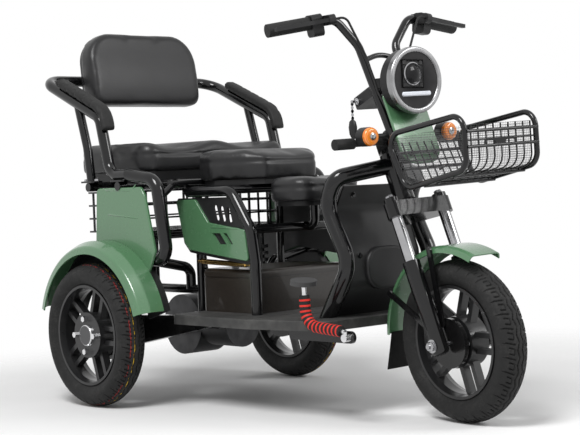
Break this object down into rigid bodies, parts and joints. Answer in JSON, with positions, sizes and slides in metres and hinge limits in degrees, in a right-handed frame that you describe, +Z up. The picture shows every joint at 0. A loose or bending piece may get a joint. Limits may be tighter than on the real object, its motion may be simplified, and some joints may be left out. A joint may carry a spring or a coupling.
{
  "type": "electric cargo tricycle",
  "caption": "Open electric tricycle with a raked steered fork, a wire basket, a flat floor, single seats, and a rear bench with backrest and armrests.",
  "frame": {"origin": "middle of the overall box on the ground", "axes": "+X forward along the length, +Y to the rider's left, +Z up"},
  "size_m": [1.5676, 0.8236, 1.077],
  "materials": {
    "black_tube": "gloss",
    "black_plastic": "satin",
    "green_body": "gloss",
    "seat_cover": "satin",
    "black_rubber": "matte",
    "motor_metal": "satin",
    "spring_steel": "gloss",
    "bright_steel": "polished",
    "red_lens": "gloss",
    "amber_lens": "gloss",
    "clear_lens": "clear",
    "tyre": "matte",
    "black_alloy": "satin"
  },
  "bodies": {
    "frame": {"front_frame": "black_tube", "rear_frame": "black_tube", "rear_hoops": "black_tube", "seat_frame": "black_tube", "chassis_rails": "black_tube", "armrest_frame": "black_tube", "rear_axle": "black_tube", "rear_cage": "black_tube", "footboard": "black_plastic", "leg_shield": "black_plastic", "side_covers": "black_plastic", "rear_liners": "black_plastic", "seat_pans": "black_plastic", "backrest_shell": "black_plastic", "battery_box": "black_plastic", "side_trims": "green_body", "rear_panels": "green_body", "rear_fenders": "green_body", "bench_cushion": "seat_cover", "driver_cushion": "seat_cover", "child_cushion": "seat_cover", "backrest_cushion": "seat_cover", "armrest_pads": "black_rubber", "brake_sleeve": "black_rubber", "drive_unit": "motor_metal", "dampers": "spring_steel", "brake_pedal": "bright_steel", "tail_lamps": "red_lens"},
    "steering": {"fork_legs": "black_tube", "fork_yoke": "black_tube", "steering_stem": "black_tube", "top_bridge": "black_tube", "handlebar": "black_tube", "basket_frame": "black_tube", "basket_wires": "black_tube", "fender_stays": "black_tube", "front_brake_plate": "black_tube", "fork_stanchions": "bright_steel", "headlight_ring": "bright_steel", "front_axle": "bright_steel", "grips": "black_rubber", "grab_bar": "black_rubber", "control_cables": "black_rubber", "hand_controls": "black_plastic", "headlight_bowl": "black_plastic", "dash_pod": "black_plastic", "nacelle": "black_plastic", "signal_bodies": "black_plastic", "headlight_lens": "clear_lens", "signal_lenses": "amber_lens", "front_panel": "green_body", "front_fender": "green_body"},
    "front_wheel": {"front_tyre": "tyre", "front_rim": "black_alloy"},
    "rear_wheel_right": {"rear_right_tyre": "tyre", "rear_right_rim": "black_alloy", "rear_right_hub": "bright_steel"},
    "rear_wheel_left": {"rear_left_tyre": "tyre", "rear_left_rim": "black_alloy", "rear_left_hub": "bright_steel"}
  },
  "joints": [
    {"name": "steering", "type": "hinge", "parent": "frame", "child": "steering", "pos_m": [0.54561, 0, 0.18702], "axis": [-0.3746, 0, 0.9272], "range_deg": [-34, 46]},
    {"name": "front_wheel_spin", "type": "hinge", "parent": "steering", "child": "front_wheel", "pos_m": [0.5825, -0.00418, 0.20192], "axis": [0.0969, 0.9945, 0.0392], "continuous": true},
    {"name": "rear_wheel_right_spin", "type": "hinge", "parent": "frame", "child": "rear_wheel_right", "pos_m": [-0.4733, -0.37, 0.202], "axis": [0, 1, 0], "continuous": true},
    {"name": "rear_wheel_left_spin", "type": "hinge", "parent": "frame", "child": "rear_wheel_left", "pos_m": [-0.4733, 0.37, 0.202], "axis": [0, 1, 0], "continuous": true}
  ]
}
